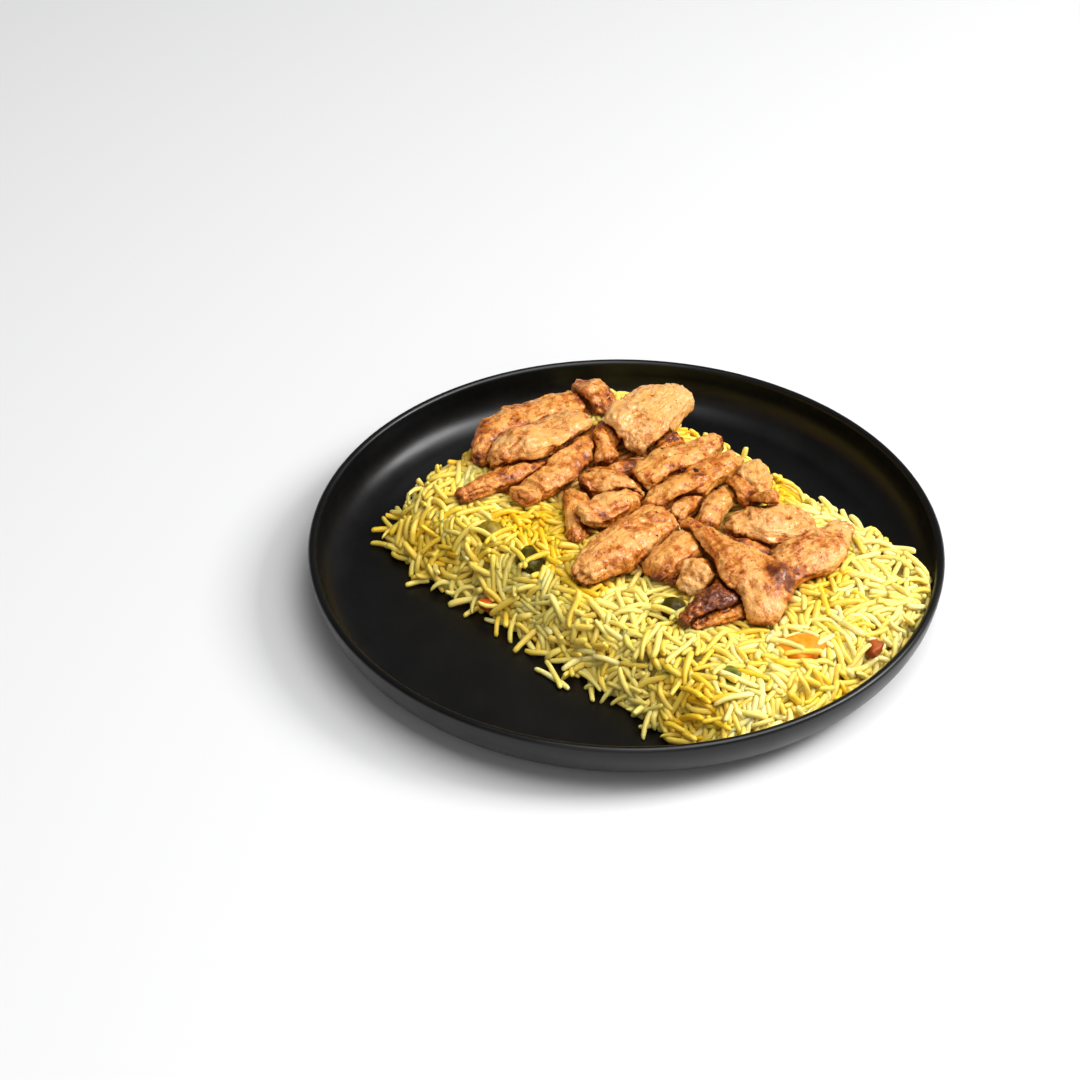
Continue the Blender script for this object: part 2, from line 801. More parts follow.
@dataclass
class ChickenPile:
    """The chicken strips, each made from its own solid of the frame."""

    voxel: float = 0.46 * MM
    bed: float = 30.0 * MM
    contact_reach: float = 2.6 * MM
    end_reach: float = 7.0 * MM
    fray_length: float = 2.6 * MM
    bed_margin: float = 1.6 * MM
    crease_width: float = 0.12

    FLANKS = 1.15
    # Dark and pale patches: place in plan and size in millimetres, and strength.
    SEARED = (
        (73.2, 11.6, 7.5, 0.75), (73.8, 46.3, 6.0, 0.35), (-83.7, -0.8, 6.0, 0.35),
        (-29.3, 1.6, 3.0, 0.4), (-20.2, 23.9, 2.2, 0.5), (12.4, 3.4, 3.0, 0.4), (-65.4, 47.7, 5.0, 0.3),
        (27.0, 47.1, 3.0, 0.3), (80.9, -8.0, 5.0, 0.25), (37.1, -19.3, 4.0, 0.3), (-27.6, 31.7, 4.0, 0.3),
    )
    BARE = (
        (-63.8, 0.4, 9.0, 0.6), (50.1, 31.0, 8.0, 0.5), (49.3, -14.0, 6.0, 0.5), (-36.6, 35.2, 7.0, 0.5),
        (-37.3, -17.6, 6.0, 0.4), (67.8, 1.7, 6.0, 0.3),
    )
    # Swellings: place in plan, size and height in millimetres.
    KNOTS = ((73.2, 11.6, 5.5, 3.0), (12.4, 3.4, 2.4, 1.2), (-51.1, 40.0, 5.0, 0.8))
    # Where the large chunk's outline is drawn to its corners: place, size and the move right and back.
    PULLS = (
        (-27.0, 72.0, 10.0, -5.0, 0.5), (-21.0, 61.0, 9.0, -3.5, -1.0), (-43.0, 79.5, 7.5, -1.2, 3.6),
        (-21.0, 34.0, 9.0, -4.0, -1.0),
    )

    LOOKS = {
        "chicken_shaded_cross": StripLook(0.0, 0.46, 0.05, 0.5),
        "chicken_shaded_right": StripLook(0.0, 0.52, 0.10, 0.5),
        "chicken_back_left_long": StripLook(0.30, 0.30, 0.06, 0.7),
        "chicken_thin_taper": StripLook(0.10, 0.34, 0.04, 0.5),
        "chicken_left_striped": StripLook(0.32, 0.33, 0.0, 0.5, 2.6),
        "chicken_small_under_chunk": StripLook(0.35, 0.33),
        "chicken_brown_sliver": StripLook(0.10, 0.38, 0.15),
        "chicken_shaded_tail": StripLook(0.15, 0.34, 0.0),
        "chicken_short_fat": StripLook(0.65, 0.15, 0.0, 0.6, 0.5),
        "chicken_thin_brown": StripLook(0.10, 0.34),
        "chicken_front_middle": StripLook(0.40, 0.24, 0.05, 0.6),
        "chicken_front_stub": StripLook(0.60, 0.16, 0.0, 0.3, 1.0),
        "chicken_charred_skirt": StripLook(0.0, 0.26, 0.0, 0.6, crust=1.5),
        "chicken_charred_slab": StripLook(0.0, 0.50, 0.32, 0.4, crust=2.4),
        "chicken_right_end": StripLook(0.75, 0.09, 0.0, 0.7),
        "chicken_curved": StripLook(0.70, 0.12, 0.02, 0.4, 0.5),
        "chicken_front_large": StripLook(0.40, 0.22, 0.0, 0.9),
        "chicken_middle_long": StripLook(0.15, 0.26, 0.0, 0.5),
        "chicken_left_bulky": StripLook(0.70, 0.14, 0.0, 0.5),
        "chicken_crosswise": StripLook(0.50, 0.20, 0.05, 0.6),
        "chicken_long": StripLook(0.45, 0.14, 0.0, 0.5),
        "chicken_back_left_chunk": StripLook(0.25, 0.30, 0.05, 0.7),
        "chicken_right_fibrous": StripLook(0.65, 0.15, 0.03, 0.6, 1.6),
        "chicken_back_end": StripLook(0.60, 0.18, 0.02, 0.5, 1.4),
        "chicken_brown_bar": StripLook(0.10, 0.34, 0.03, 0.5),
        "chicken_large_chunk": StripLook(0.90, 0.04, 0.0, 0.4, 0.15, corners=1.0),
        "chicken_right_triangle": StripLook(0.40, 0.22, 0.03, 0.5),
    }

    def build(self) -> list[bpy.types.Object]:
        """Makes every strip.

        Returns:
            The strips.
        """
        meat = MeatFinish().material()
        strips = []
        for number, (node, look) in enumerate(self.LOOKS.items()):
            strip = self.strip(node, look, number)
            finish_piece(strip, meat, slot_of(node), node)
            strips.append(strip)
        return strips

    def strip(self, node: str, look: StripLook, number: int) -> bpy.types.Object:
        """Makes one strip from its solid.

        Args:
            node: the solid's name.
            look: how the strip is cooked.
            number: its place in the list, which seeds its relief.

        Returns:
            The strip, with its relief and with what its material reads.
        """
        strip = merged_copy(node, node + "_strip")
        apply_modifier(strip, "REMESH", mode="VOXEL", voxel_size=self.voxel)
        apply_modifier(strip, "SMOOTH", factor=0.5, iterations=9)
        points = points_of(strip)
        normals = normals_of(strip)
        flow, ends, way = self.flow(points)
        noise = LatticeNoise(Seed.STRIPS + number)
        contact = self.contact(node, points)
        bundles = Relief.BUNDLES.read(noise, flow)
        ridges = 1.0 - 2.2 * np.abs(Relief.RIDGES.read(noise, flow))
        fibres = Relief.FIBRES.read(noise, flow)
        creased = smooth_step(Relief.CREASED.read(noise, points), -0.4, 0.3)
        creases = np.exp(-((bundles / self.crease_width) ** 2)) * creased
        warp = Relief.WARP.read(noise, points)
        lumps = Relief.LUMPS.read(noise, points, 2)
        crags = Relief.CRAGS.read(noise, points, 2)
        folds = Relief.FOLDS.read(noise, flow)
        folded = smooth_step(Relief.FOLDED.read(noise, points), -0.2, 0.4)
        pits = smooth_step(Relief.PITS.read(noise, points), 0.55, 0.8)
        free = smooth_step(points[:, 2], self.bed, self.bed + self.bed_margin)
        knobs = Relief.KNOBS.read(noise, points)
        grit = Relief.GRIT.read(noise, points)
        # Each layer's height in millimetres.
        rise = 0.4 + 0.9 * warp + 0.75 * lumps + 0.4 * knobs + 0.35 * bundles + 0.12 * ridges + 0.22 * fibres
        rise += (0.36 + 0.5 * ends) * crags + look.folds * 0.5 * folds * folded + 0.35 * look.crust * grit
        rise += self.spread(points, self.KNOTS) - 0.4 * creases - 0.5 * pits - 1.1 * contact
        points += normals * (rise * free * MM)[:, None]
        if look.corners:
            offset = points[:, :2] - points[:, :2].mean(axis=0)
            points[:, :2] += self.square_off(flow)[:, None] * look.corners * offset
            self.pull(points)
        fray = noise.at(np.column_stack([flow[:, 1:] / (1.7 * MM), flow[:, 0] / (9 * MM)]))
        slip = np.sign(flow[:, 0]) * ends * fray * free * look.fraying * self.fray_length
        points[:, :2] += way[None] * slip[:, None]
        set_points(strip, points)
        height = 0.8 * lumps + 0.3 * crags - 0.35 * creases - 0.5 * pits - contact
        self.brown(strip, look, flow, ends, noise, height)
        return strip

    @staticmethod
    def spread(points: np.ndarray, places: tuple) -> np.ndarray:
        """Adds up soft round patches in plan.

        Args:
            points: rows of three.
            places: each patch's place, size and strength, in millimetres.

        Returns:
            The patches' strength at each point.
        """
        total = np.zeros(len(points))
        for x, y, size, strength in places:
            far = np.hypot(points[:, 0] - x * MM, points[:, 1] - y * MM)
            total += strength * patch(far, size)
        return total

    def pull(self, points: np.ndarray) -> None:
        """Draws parts of an outline softly in or out, in plan.

        Args:
            points: the strip's points, which it moves.
        """
        for x, y, size, right, back in self.PULLS:
            far = np.hypot(points[:, 0] - x * MM, points[:, 1] - y * MM)
            points[:, :2] += patch(far, size)[:, None] * np.array((right, back)) * MM

    @staticmethod
    def square_off(flow: np.ndarray) -> np.ndarray:
        """Works out how far each point moves to turn a round outline into one with corners.

        Args:
            flow: the points along and across the strip.

        Returns:
            A share of each point's distance from the middle: below 0 on the axes, above it on the diagonals.
        """
        scaled = flow[:, :2] / np.abs(flow[:, :2]).max(axis=0)
        spread = (scaled**4).sum(axis=1) ** 0.25
        return np.hypot(scaled[:, 0], scaled[:, 1]) / np.maximum(spread, 1e-6) - ChickenPile.FLANKS

    def contact(self, node: str, points: np.ndarray) -> np.ndarray:
        """Measures how closely the other strips lie against one strip.

        Args:
            node: the strip's solid.
            points: the strip's points.

        Returns:
            For each point 1 where another strip touches it, down to 0 at the reach.
        """
        reach = self.contact_reach
        tree = search_tree([frame["nodes"][other].data for other in self.LOOKS if other != node])
        found = [tree.find_nearest(Vector(point), reach)[3] for point in points]
        far = np.array([reach if distance is None else distance for distance in found])
        return 1.0 - smooth_step(far, 0.2 * MM, reach)

    def flow(self, points: np.ndarray) -> tuple[np.ndarray, np.ndarray, np.ndarray]:
        """Follows the strip's fibres.

        Args:
            points: the strip's points.

        Returns:
            Each point as lengths along and across the bent strip and up, how near an end it is, from 0 to
            1, and the strip's direction in plan.
        """
        plan = points[:, :2]
        centre = plan.mean(axis=0)
        values, vectors = np.linalg.eigh(np.cov((plan - centre).T))
        way = vectors[:, int(np.argmax(values))]
        across = np.array((-way[1], way[0]))
        along = (plan - centre) @ way
        side = (plan - centre) @ across
        bend = np.polyfit(along, side, 2)
        side = side - np.polyval(bend, along)
        reach = np.abs(along).max()
        ends = smooth_step(np.abs(along), reach - self.end_reach, reach)
        return np.column_stack([along, side, points[:, 2] - self.bed]), ends, way

    def brown(self, strip: bpy.types.Object, look: StripLook, flow: np.ndarray, ends: np.ndarray,
              noise: LatticeNoise, height: np.ndarray) -> None:
        """Stores how brown and how pale each point of a strip is.

        Args:
            strip: the strip.
            look: how it is cooked.
            flow: its points along, across and up.
            ends: how near an end each point is.
            noise: the strip's own noise.
            height: its relief, about from -1 to 1.
        """
        points = points_of(strip)
        normals = normals_of(strip)
        patches = Relief.BROWN_PATCHES.read(noise, points, 3)
        furrow = smooth_step(-height, 0.05, 0.75)
        under = smooth_step(-normals[:, 2], -0.35, 0.55)
        low = smooth_step(-points[:, 2], -(self.bed + 4 * MM), -(self.bed + 0.5 * MM))
        browning = look.browning + 0.09 + 0.34 * furrow + 0.46 * patches + 0.34 * under + 0.14 * low
        browning += ends * (0.05 + 0.25 * np.clip(patches, 0, 1)) + look.char
        browning += self.spread(points, self.SEARED)
        paleness = look.paleness + 0.5 * Relief.PALE_PATCHES.read(noise, points, 2) - 0.3 * furrow
        bare = self.spread(points, self.BARE)
        paleness += bare
        browning -= 0.3 * bare
        set_values(strip, "browning", np.clip(browning, 0.0, 1.4))
        set_values(strip, "paleness", np.clip(paleness, 0.0, 1.0))
        set_vectors(strip, "flow", Relief.THREADS.places(flow))


@dataclass
class Vegetables:
    """The peas and the pieces of pepper and carrot in the rice."""

    voxel: float = 0.35 * MM
    squareness: float = 3.2

    FINISHES = {
        "pea_left": VegetableFinish(
            "pea_skin_left", (0.32, 0.225, 0.022), (0.17, 0.11, 0.008), 0.3, 0.25 * MM, 0.0, 0.9),
        "pea_right": VegetableFinish(
            "pea_skin_right", (0.07, 0.048, 0.004), (0.034, 0.022, 0.002), 0.3, 0.25 * MM, 0.0, 0.95),
        "green_pepper_front": VegetableFinish(
            "dark_green_skin", (0.075, 0.06, 0.006), (0.018, 0.015, 0.002), 0.3, bare=1.1),
        "green_pepper_right": VegetableFinish("green_skin", (0.20, 0.20, 0.03), (0.08, 0.085, 0.014)),
        "green_pepper_strip": VegetableFinish("green_strip_skin", (0.38, 0.42, 0.08), (0.22, 0.26, 0.05)),
        "carrot_piece": VegetableFinish(
            "carrot_flesh", (0.92, 0.32, 0.020), (0.86, 0.22, 0.010), bare=0.95),
        "red_pepper_front": VegetableFinish("red_skin_front", (0.62, 0.105, 0.014), (0.42, 0.05, 0.008)),
        "red_pepper_right": VegetableFinish("red_skin_right", (0.38, 0.085, 0.018), (0.20, 0.035, 0.008)),
    }

    def build(self) -> list[bpy.types.Object]:
        """Makes every piece from its solid.

        Returns:
            The pieces.
        """
        pieces = []
        for number, (node, finish) in enumerate(self.FINISHES.items()):
            piece = merged_copy(node, node + "_piece")
            apply_modifier(piece, "REMESH", mode="VOXEL", voxel_size=self.voxel)
            apply_modifier(piece, "SMOOTH", factor=0.5, iterations=12)
            points = points_of(piece)
            middle = points.mean(axis=0)
            offset = points - middle
            scaled = offset / np.abs(offset).max(axis=0)
            spread = (np.abs(scaled) ** self.squareness).sum(axis=1) ** (1 / self.squareness)
            corner = np.linalg.norm(scaled, axis=1) / np.maximum(spread, 1e-6)
            points = middle + offset * (1.0 + finish.cut * (corner - 1.0))[:, None]
            set_points(piece, points)
            dents = LatticeNoise(Seed.VEGETABLES + number).layered(points / (2.6 * MM), 2)
            points += normals_of(piece) * (dents * finish.dents)[:, None]
            set_points(piece, points)
            finish_piece(piece, finish.material(), slot_of(node), node)
            pieces.append(piece)
        return pieces

    def extents(self) -> list[tuple[np.ndarray, np.ndarray]]:
        """Gives each piece's middle and half sizes."""
        found = []
        for node in self.FINISHES:
            low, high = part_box(node)
            found.append(((np.array(low) + np.array(high)) / 2, (np.array(high) - np.array(low)) / 2))
        return found


ROUGH = LatticeNoise(Seed.HEAP)


@dataclass
class RiceSlab:
    """The form of the heap: a slab with a rounded plan, leaning sides and a rounded top edge."""

    left: float = -91.0 * MM
    right: float = 123.0 * MM
    front: float = -62.0 * MM
    back: float = 80.0 * MM
    draw_in: tuple[float, float, float, float] = (5.0 * MM, 12.0 * MM, 13.0 * MM, 7.0 * MM)
    top: float = 29.9 * MM
    foot: float = 5.0 * MM
    foot_corner: float = 18.0 * MM
    top_corner: float = 30.0 * MM
    edge: float = 7.0 * MM

    def distance(self, points: np.ndarray) -> np.ndarray:
        """Measures how far points are outside the slab.

        Args:
            points: rows of three.

        Returns:
            Their distances, negative inside.
        """
        x, y, z = points.T
        rise = np.clip((z - self.foot) / (self.top - self.foot), 0.0, 1.1)
        left = self.left + rise * self.draw_in[0]
        right = self.right - rise * self.draw_in[1]
        front = self.front + rise * self.draw_in[2]
        back = self.back - rise * self.draw_in[3]
        corner = self.foot_corner + rise * (self.top_corner - self.foot_corner)
        across = np.abs(x - (left + right) / 2) - (right - left) / 2 + corner
        along = np.abs(y - (front + back) / 2) - (back - front) / 2 + corner
        outside = np.hypot(np.maximum(across, 0.0), np.maximum(along, 0.0))
        plan = outside + np.minimum(np.maximum(across, along), 0.0) - corner + self.edge
        over = z - self.top - self.swell(x, y) + self.edge
        outer = np.hypot(np.maximum(plan, 0.0), np.maximum(over, 0.0))
        return outer + np.minimum(np.maximum(plan, over), 0.0) - self.edge

    @staticmethod
    def swell(x: np.ndarray, y: np.ndarray) -> np.ndarray:
        """Lifts and lowers the top by about a millimetre in long waves."""
        first = np.sin(x / (17 * MM) + 0.6) * np.cos(y / (13 * MM) - 0.4)
        second = np.sin(x / (9 * MM) - y / (11 * MM) + 1.9)
        return (0.6 * first + 0.4 * second) * MM

    def roughness(self, points: np.ndarray) -> np.ndarray:
        """Gives how far the broken skin of the heap stands out at each point, in hollows and heaps."""
        return (1.3 * ROUGH.at(points / (9 * MM)) + 0.7 * ROUGH.at(points / (4.3 * MM) + 13.0) - 0.2) * MM

    def slope(self, points: np.ndarray) -> tuple[np.ndarray, np.ndarray]:
        """Measures points against the slab's surface.

        Args:
            points: rows of three.

        Returns:
            Their true distances outside it, and the directions that lead straight away from it.
        """
        step = 0.2 * MM
        here = self.distance(points)
        away = np.empty_like(points)
        for axis in range(3):
            moved = points.copy()
            moved[:, axis] += step
            away[:, axis] = (self.distance(moved) - here) / step
        length = np.maximum(np.linalg.norm(away, axis=1), 0.3)
        return here / length, away / length[:, None]

    def build_core(self, depth: float, plate: Plate) -> bpy.types.Object:
        """Makes the inside of the heap, which shows only in the gaps between grains.

        Args:
            depth: how far it lies under the slab's surface.
            plate: the plate that holds it in.

        Returns:
            The core.
        """
        deselect()
        middle = ((self.left + self.right) / 2, (self.front + self.back) / 2, (self.foot + self.top) / 2)
        bpy.ops.mesh.primitive_cube_add(size=1.0, location=middle)
        core = bpy.context.active_object
        core.name = "rice_core"
        core.scale = (self.right - self.left, self.back - self.front, self.top - self.foot)
        bpy.ops.object.transform_apply(location=True, rotation=True, scale=True)
        apply_modifier(core, "REMESH", mode="VOXEL", voxel_size=2.4 * MM)
        noise = LatticeNoise(Seed.CORE)
        points = points_of(core)
        for _ in range(12):
            far, away = self.slope(points)
            points -= away * np.maximum(far + depth, 0.0)[:, None]
        points[:, 2] = np.maximum(points[:, 2], self.foot + 0.3 * MM)
        free = smooth_step(points[:, 2], self.foot + 0.5 * MM, self.foot + 3 * MM)
        away = self.slope(points)[1]
        points += away * (noise.layered(points / (3.5 * MM), 2) * free * 0.7 * MM)[:, None]
        room = (plate.room(points[:, 2]) - 2 * MM) / np.maximum(np.hypot(points[:, 0], points[:, 1]), 1e-6)
        points[:, :2] *= np.minimum(room, 1.0)[:, None]
        set_points(core, points)
        return core


class GrainBed:
    """Bent grains, each a rigid chain of balls, pushed apart and held to the slab's skin."""

    BALLS = 7
    BALL_SPAN = 0.88
    LAYER = 5.4 * MM
    LENGTHS = (16.0 * MM, 2.8 * MM)
    LENGTH_LIMITS = (8 * MM, 21 * MM)
    RADII = (1.19 * MM, 0.12 * MM)
    RADIUS_LIMITS = (0.95 * MM, 1.45 * MM)
    BEND = 1.4 * MM
    CURLED_SHARE = 0.26
    CURLS = (2.4 * MM, 4.8 * MM)
    TWIST = 0.9 * MM
    TAPER = 0.10
    TILT = 0.30
    # The loose grains' share on the flat top, and what a steep side adds to it.
    LOOSE_SHARE = 0.15
    LOOSE_STEEP = 0.27
    LOOSE_TILTS = (0.3, 1.1)
    LOOSE_REACH = (0.8 * MM, 2.6 * MM)
    STEEP_REACH = 3.2 * MM
    STRAY_REACH = (2 * MM, 9 * MM)
    CELL = 2.95 * MM
    CLOSENESS = 0.97
    SINK = 0.02 * MM

    def __init__(self, slab: RiceSlab, plate: Plate, buried: list, roof: "Roof", seed: int) -> None:
        """Keeps what the grains lie on and against.

        Args:
            slab: the heap's form.
            plate: the plate under it.
            buried: the vegetables' middles and half sizes.
            roof: the underside of the chicken.
            seed: the seed of every draw.
        """
        self.slab = slab
        self.plate = plate
        self.buried = buried
        self.roof = roof
        self.draw = np.random.default_rng(seed)

    def scatter(self, count: int, strays: int) -> None:
        """Draws the grains' places, directions and sizes.

        Args:
            count: how many grains cover the slab.
            strays: how many more lie round its foot with an end sticking out.
        """
        low = np.array((self.slab.left - 3 * MM, self.slab.front - 3 * MM, self.slab.foot))
        high = np.array((self.slab.right + 3 * MM, self.slab.back + 3 * MM, self.slab.top + 2 * MM))
        found = np.empty((0, 3))
        while len(found) < count:
            tried = self.draw.uniform(low, high, (4 * count, 3))
            far = self.slab.slope(tried)[0]
            inside = np.hypot(tried[:, 0], tried[:, 1]) < self.plate.room(tried[:, 2]) - 2 * MM
            found = np.vstack([found, tried[(far < 0.0) & (far > -self.LAYER) & inside]])
        middles = found[:count]
        turn = self.draw.uniform(0, 2 * math.pi, strays)
        centre = np.array(((self.slab.left + self.slab.right) / 2, (self.slab.front + self.slab.back) / 2))
        half = np.array(((self.slab.right - self.slab.left) / 2, (self.slab.back - self.slab.front) / 2))
        ring = np.column_stack([np.cos(turn), np.sin(turn)])
        ring /= np.abs(ring).max(axis=1)[:, None] ** 0.85
        foot = np.column_stack([centre + ring * half, self.draw.uniform(7 * MM, 13 * MM, strays)])
        for _ in range(6):
            far, away = self.slab.slope(foot)
            foot[:, :2] -= (away * far[:, None])[:, :2]
        self.middles = np.vstack([middles, foot])
        total = count + strays
        self.stray = np.arange(total) >= count
        self.length = np.clip(self.draw.normal(*self.LENGTHS, total), *self.LENGTH_LIMITS)
        self.thick = np.clip(self.draw.normal(*self.RADII, total), *self.RADIUS_LIMITS)
        self.bend = np.abs(self.draw.normal(0.0, self.BEND, total))
        curled = self.draw.random(total) < self.CURLED_SHARE
        self.bend[curled] = self.draw.uniform(*self.CURLS, int(curled.sum()))
        self.length[curled] *= 0.9
        self.twist = self.draw.normal(0.0, self.TWIST, total)
        self.taper = self.draw.normal(0.0, self.TAPER, total)
        away = self.slab.slope(self.middles)[1]
        way = self.draw.normal(size=(total, 3))
        way = unit(way - away * np.sum(way * away, axis=1)[:, None])
        steep = np.clip(1.0 - away[:, 2], 0.0, 1.0)
        tilt = self.draw.normal(0.0, self.TILT, total)
        loose = self.draw.random(total) < self.LOOSE_SHARE + self.LOOSE_STEEP * steep
        tilt[loose] = self.draw.uniform(*self.LOOSE_TILTS, int(loose.sum()))
        out = away.copy()
        out[:, 2] *= 0.3
        fan = self.draw.normal(size=(total, 3)) * 0.75
        fan[:, 2] *= 0.35
        outward = unit(unit(out) + fan)
        way = unit(np.where(self.stray[:, None], outward, way + away * tilt[:, None]))
        side = unit(np.cross(away + self.draw.normal(size=(total, 3)) * 0.35, way))
        self.axes = np.stack([way, side, np.cross(way, side)], axis=1)
        self.allowed = np.where(self.stray, self.draw.uniform(*self.STRAY_REACH, total), 0.2 * MM)
        reach = self.draw.uniform(*self.LOOSE_REACH, total) + steep * self.STEEP_REACH
        self.allowed = np.where(loose & ~self.stray, reach, self.allowed)

    def spine(self, shares: np.ndarray) -> np.ndarray:
        """Places points along every grain's bent middle line.

        Args:
            shares: where along the grain, from -1 to 1.

        Returns:
            Points, by grain and share.
        """
        reach = np.multiply.outer(self.length / 2, shares)
        lift = np.multiply.outer(self.bend, 1 / 3 - shares * shares)
        sway = np.multiply.outer(self.twist, shares**3 - shares)
        local = np.stack([reach, sway, lift], axis=2)
        return self.middles[:, None] + np.einsum("nki,nij->nkj", local, self.axes)

    @staticmethod
    def near_pairs(points: np.ndarray, size: float) -> tuple[np.ndarray, np.ndarray]:
        """Finds the pairs of points that share a cell or lie in neighbouring cells.

        Args:
            points: rows of three.
            size: the cells' size.

        Returns:
            The first and the second point of each pair, by number.
        """
        cells = np.floor(points / size).astype(np.int64)
        cells -= cells.min(axis=0) - 1
        span = cells.max(axis=0) + 2
        keys = (cells[:, 0] * span[1] + cells[:, 1]) * span[2] + cells[:, 2]
        order = np.argsort(keys, kind="stable")
        ranked = keys[order]
        firsts = []
        seconds = []
        for offset in range(14):
            dx, dy, dz = offset // 9, offset // 3 % 3, offset % 3
            shift = ((dx - 1) * span[1] + dy - 1) * span[2] + dz - 1
            start = np.searchsorted(ranked, keys + shift, "left")
            count = np.searchsorted(ranked, keys + shift, "right") - start
            first = np.repeat(np.arange(len(points)), count)
            skip = np.arange(len(first)) - np.repeat(np.cumsum(count) - count, count)
            second = order[np.repeat(start, count) + skip]
            if shift == 0:
                keep = first < second
                first, second = first[keep], second[keep]
            firsts.append(first)
            seconds.append(second)
        return np.concatenate(firsts), np.concatenate(seconds)

    def settle(self, rounds: int) -> None:
        """Pushes the grains apart and back to where they may lie, over and over.

        Args:
            rounds: how many times.
        """
        shares = np.linspace(-self.BALL_SPAN, self.BALL_SPAN, self.BALLS)
        total = len(self.middles)
        owner = np.repeat(np.arange(total), self.BALLS)
        thick = np.repeat(self.thick, self.BALLS)
        allowed = np.repeat(self.allowed, self.BALLS)
        for number in range(rounds):
            balls = self.spine(shares).reshape(-1, 3)
            push = np.zeros_like(balls)
            first, second = self.near_pairs(balls, self.CELL)
            apart = owner[first] != owner[second]
            first, second = first[apart], second[apart]
            gap = balls[first] - balls[second]
            distance = np.linalg.norm(gap, axis=1)
            wanted = (thick[first] + thick[second]) * self.CLOSENESS
            close = distance < wanted
            first, second, gap = first[close], second[close], gap[close]
            distance = np.maximum(distance[close], 1e-6)
            step = gap * ((wanted[close] - distance) / distance / 2)[:, None]
            for axis in range(3):
                push[:, axis] += np.bincount(first, step[:, axis], len(balls))
                push[:, axis] -= np.bincount(second, step[:, axis], len(balls))
            touched = np.bincount(first, minlength=len(balls)) + np.bincount(second, minlength=len(balls))
            push /= np.maximum(touched, 1.0)[:, None] ** 0.5
            far, away = self.slab.slope(balls + push)
            far -= self.slab.roughness(balls)
            pull = np.clip(far + thick - allowed, 0.0, None) - np.clip(-self.LAYER - far, 0.0, None)
            pull += self.SINK
            push -= away * pull[:, None]
            push += self.limits(balls + push, thick)
            push = push.reshape(total, self.BALLS, 3)
            arms = balls.reshape(total, self.BALLS, 3) - self.middles[:, None]
            self.middles += push.mean(axis=1)
            turn = np.cross(arms, push).sum(axis=1) / np.maximum((arms**2).sum(axis=(1, 2)), 1e-9)[:, None]
            self.rotate(turn)
            if number % 20 == 0:
                log.info("grains, round %d: %d touching", number, len(first))

    def rotate(self, turns: np.ndarray) -> None:
        """Turns every grain's axes.

        Args:
            turns: one rotation vector for each grain.
        """
        for row in range(3):
            self.axes[:, row] += np.cross(turns, self.axes[:, row])
        way = unit(self.axes[:, 0])
        side = unit(self.axes[:, 1] - way * np.sum(self.axes[:, 1] * way, axis=1)[:, None])
        self.axes = np.stack([way, side, np.cross(way, side)], axis=1)

    def limits(self, balls: np.ndarray, thick: np.ndarray) -> np.ndarray:
        """Works out how balls move to clear the plate, the chicken and the vegetables.

        Args:
            balls: where the balls are.
            thick: their radii.

        Returns:
            Their moves.
        """
        move = np.zeros_like(balls)
        move[:, 2] = np.maximum(self.plate.floor_height + thick - balls[:, 2], 0.0)
        spread = np.hypot(balls[:, 0], balls[:, 1])
        room = self.plate.room(balls[:, 2] - thick * 0.7) - thick
        over = np.maximum(spread - room, 0.0) / np.maximum(spread, 1e-6)
        move[:, :2] -= balls[:, :2] * over[:, None]
        move[:, 2] -= np.maximum(balls[:, 2] + thick - self.roof.height(balls), 0.0)
        for middle, half in self.buried:
            offset = balls - middle
            scaled = offset / (half + thick[:, None] * 0.9)
            depth = np.linalg.norm(scaled, axis=1)
            inside = depth < 1.0
            grown = offset[inside] / np.maximum(depth[inside], 0.05)[:, None]
            move[inside] += grown - offset[inside]
        return move

    def drop(self, gone: np.ndarray) -> None:
        """Takes grains away.

        Args:
            gone: True for each grain to take away.
        """
        for name in ("middles", "length", "thick", "bend", "twist", "taper", "axes", "stray", "allowed"):
            setattr(self, name, getattr(self, name)[~gone])

    def lay(self, start: Place, end: Place, bend: float) -> None:
        """Adds one grain at a given place, after the others have settled.

        Args:
            start: one end, in millimetres.
            end: the other end, in millimetres.
            bend: how far it bows, in millimetres.
        """
        first = np.array(start) * MM
        last = np.array(end) * MM
        way = (last - first) / np.linalg.norm(last - first)
        side = np.cross((0.0, 0.0, 1.0), way)
        side /= np.linalg.norm(side)
        added = {
            "middles": (first + last) / 2,
            "length": np.linalg.norm(last - first),
            "thick": 1.15 * MM,
            "bend": bend * MM,
            "twist": 0.4 * MM,
            "taper": 0.05,
            "axes": np.array((way, np.cross(way, side), side)),
            "stray": True,
            "allowed": 0.0,
        }
        for name, value in added.items():
            setattr(self, name, np.concatenate([getattr(self, name), np.array(value)[None]]))


